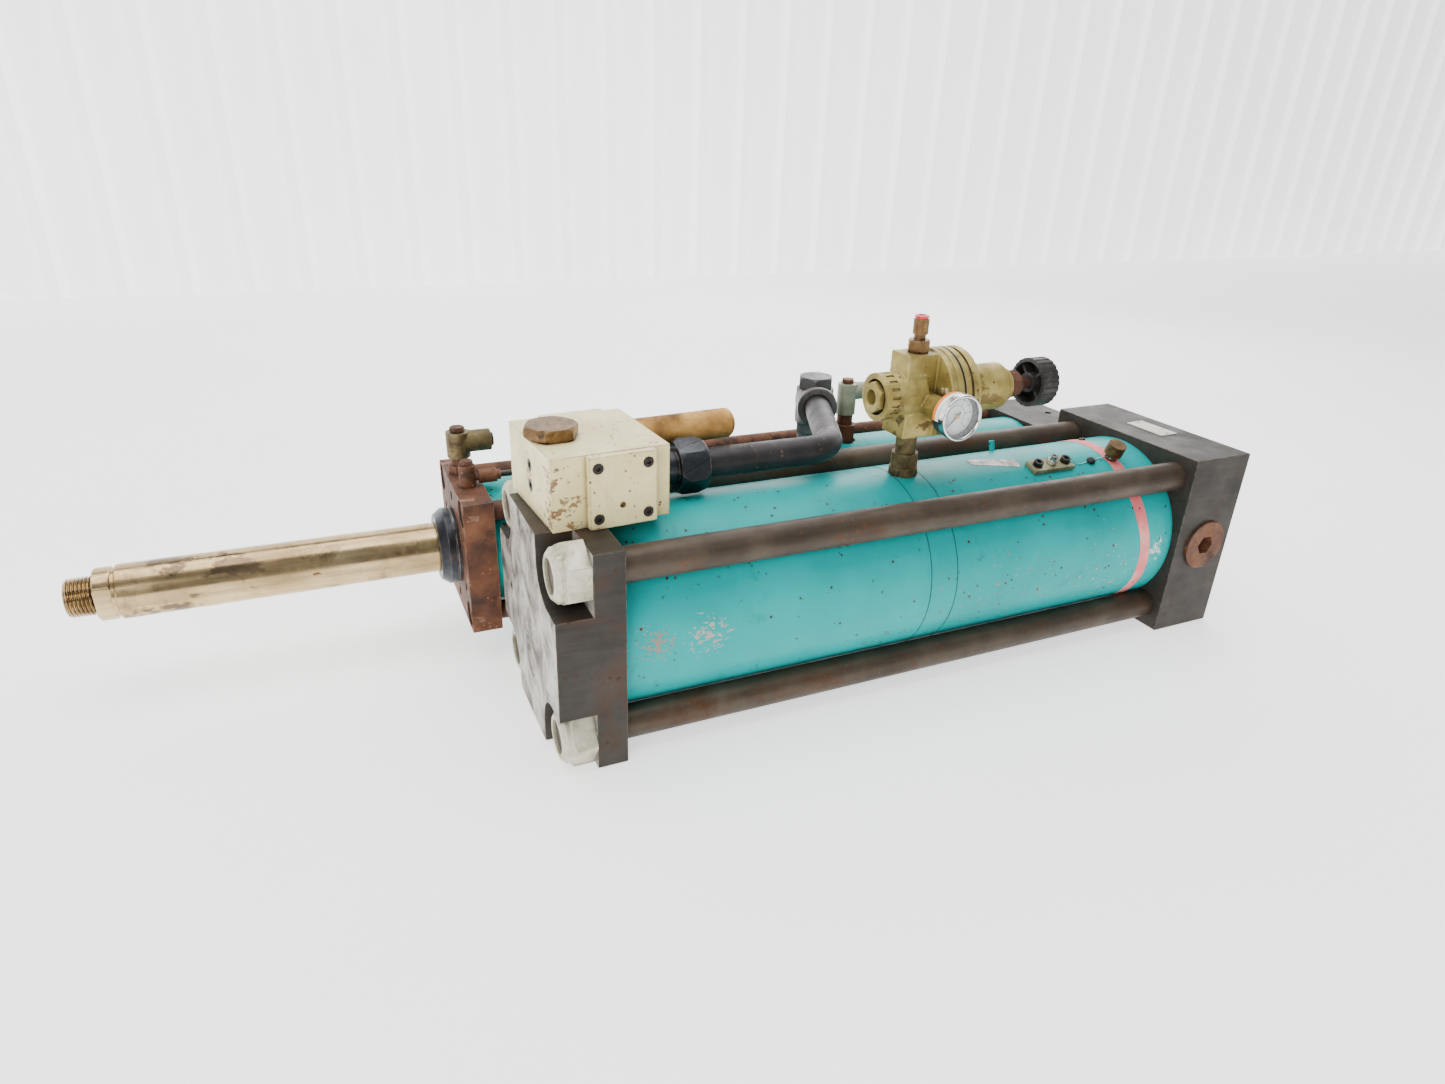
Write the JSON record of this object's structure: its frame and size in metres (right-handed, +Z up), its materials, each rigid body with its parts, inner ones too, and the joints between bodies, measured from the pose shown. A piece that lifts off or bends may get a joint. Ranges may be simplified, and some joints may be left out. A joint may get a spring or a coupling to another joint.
{
  "type": "pneumatic cylinder",
  "caption": "Air-over-oil press cylinder: a tie-rod air intensifier beside a hydraulic working cylinder with its piston rod out, with a valve block, transfer pipe and pressure regulator on top",
  "frame": {"origin": "on the base, in the intensifier's centre plane, under the face that its front tie-rod nuts seat on", "axes": "+X along both cylinders towards the rear, the rod leaves at -X; +Y from the intensifier to the working cylinder; +Z up"},
  "size_m": [1.1215, 0.3477, 0.3457],
  "materials": {
    "dark_head_steel": "dark machined steel with brown stains and bright worn edges",
    "teal_paint": "satin machine paint with chips and rust specks",
    "oxide_steel": "brown-black oxide, drawn along the rod",
    "galvanised_steel": "pale galvanised, stained",
    "seal_rubber": "black nitrile",
    "piston_alloy": "turned",
    "ground_steel": "ground",
    "bush_bronze": "turned bronze",
    "rusty_steel": "brown surface rust",
    "plate_paint": "blank cream plate",
    "plug_bronze": "dull bronze",
    "olive_paint": "dirty olive",
    "bright_chrome": "bright plated",
    "black_screw_steel": "black oxide",
    "burnished_steel": "dark burnished, scuffed on its edges",
    "rod_chrome": "hard chrome with a warm film of oil",
    "cream_paint": "cream paint, chipped and rusty at its edges",
    "sintered_bronze": "sintered, matt",
    "pipe_steel": "charcoal",
    "elbow_iron": "cast, dark grey",
    "aged_brass": "dirty olive-brown",
    "sage_paint": "sage green, worn",
    "black_plastic": "moulded, ribbed",
    "black_tube": "nylon tube",
    "regulator_brass": "dirty olive brass with pale chalky patches",
    "red_plastic": "moulded red",
    "gauge_black": "gloss black"
  },
  "bodies": {
    "cylinder": {"booster_front_head": "dark_head_steel", "booster_rear_head": "dark_head_steel", "working_rear_head": "dark_head_steel", "head_spacers": "dark_head_steel", "booster_front_tube": "teal_paint", "partition_ring": "teal_paint", "booster_rear_tube": "teal_paint", "working_front_tube": "teal_paint", "working_mid_ring": "teal_paint", "working_rear_tube": "teal_paint", "booster_tie_rods": "oxide_steel", "tie_rod_nuts": "galvanised_steel", "frame_seals": "seal_rubber", "guide_bushes": "bush_bronze", "rear_port_plug": "rusty_steel", "name_plate": "plate_paint", "filler_plug": "plug_bronze", "port_strip": "olive_paint", "test_nipple": "bright_chrome", "socket_screws": "black_screw_steel", "rod_head": "rusty_steel", "gland_nose": "burnished_steel", "working_tie_bolts": "rusty_steel", "valve_body": "cream_paint", "spool_covers": "cream_paint", "cap_plug": "plug_bronze", "muffler": "sintered_bronze", "pipe_nut": "burnished_steel", "transfer_pipe": "pipe_steel", "pipe_elbow": "elbow_iron", "elbow_plug": "elbow_iron", "elbow_bolts": "rusty_steel", "banjo_elbow": "rusty_steel", "pilot_tube": "black_tube", "regulator_body": "regulator_brass", "ring_nut": "regulator_brass", "inlet_plug": "regulator_brass", "bonnet": "regulator_brass", "diaphragm": "seal_rubber", "regulator_spring": "ground_steel", "riser": "aged_brass", "outlet_fitting": "plug_bronze", "gauge_case": "gauge_black"},
    "ram": {"piston_rod": "rod_chrome", "ram_piston": "piston_alloy", "ram_piston_seals": "seal_rubber"},
    "separator": {"tank_separator": "seal_rubber"},
    "intensifier": {"booster_piston": "piston_alloy", "booster_piston_seals": "seal_rubber", "plunger": "ground_steel"},
    "spool": {"valve_spool": "ground_steel"},
    "head_swivel": {"head_elbow": "aged_brass"},
    "head_collar": {"head_elbow_collar": "black_plastic"},
    "tube_swivel": {"tube_elbow": "sage_paint"},
    "tube_collar": {"tube_elbow_collar": "black_plastic"},
    "top_collar": {"push_collar": "red_plastic"},
    "screw_feed": {"spring_seat": "piston_alloy"},
    "knob": {"adjusting_screw": "rusty_steel", "handwheel": "black_plastic"},
    "pointer": {"gauge_pointer": "gauge_black"}
  },
  "joints": [
    {"name": "rod_slide", "type": "slide", "parent": "cylinder", "child": "ram", "axis": [1, 0, 0], "range_m": [0, 0.25]},
    {"name": "separator_slide", "type": "slide", "parent": "cylinder", "child": "separator", "axis": [1, 0, 0], "range_m": [0, 0.1325]},
    {"name": "booster_slide", "type": "slide", "parent": "cylinder", "child": "intensifier", "axis": [1, 0, 0], "range_m": [0, 0.2]},
    {"name": "spool_slide", "type": "slide", "parent": "cylinder", "child": "spool", "axis": [-0.0698, 0.9976, 0], "range_m": [0, 0.008]},
    {"name": "head_elbow_turn", "type": "hinge", "parent": "cylinder", "child": "head_swivel", "pos_m": [-0.0485, 0.2, 0.19], "axis": [0, 0, 1], "range_deg": [-45, 180]},
    {"name": "head_collar_press", "type": "slide", "parent": "head_swivel", "child": "head_collar", "axis": [-1, 0, 0], "range_m": [0, 0.001], "stiffness_N_per_m": 1000},
    {"name": "tube_elbow_turn", "type": "hinge", "parent": "cylinder", "child": "tube_swivel", "pos_m": [0.39, 0.176, 0.19], "axis": [0, 0, 1], "range_deg": [-100, 100]},
    {"name": "tube_collar_press", "type": "slide", "parent": "tube_swivel", "child": "tube_collar", "axis": [-1, 0, 0], "range_m": [0, 0.001], "stiffness_N_per_m": 1000},
    {"name": "top_collar_press", "type": "slide", "parent": "cylinder", "child": "top_collar", "axis": [0, 0, -1], "range_m": [0, 0.001], "stiffness_N_per_m": 1000},
    {"name": "screw_feed", "type": "slide", "parent": "cylinder", "child": "screw_feed", "axis": [1, 0, 0], "range_m": [-0.003, 0.003], "deforming": ["regulator_spring"]},
    {"name": "knob_turn", "type": "hinge", "parent": "screw_feed", "child": "knob", "pos_m": [0.46, -0.005, 0.2715], "axis": [1, 0, 0], "range_deg": [-720, 720]},
    {"name": "pointer_turn", "type": "hinge", "parent": "cylinder", "child": "pointer", "pos_m": [0.354, -0.067, 0.266], "axis": [0, 1, 0], "range_deg": [0, 270]}
  ],
  "couplings": [
    {"joint": "separator_slide", "follows": "rod_slide", "ratio": 0.5289},
    {"joint": "screw_feed", "follows": "knob_turn", "m_per_rad": 0.00023873}
  ]
}
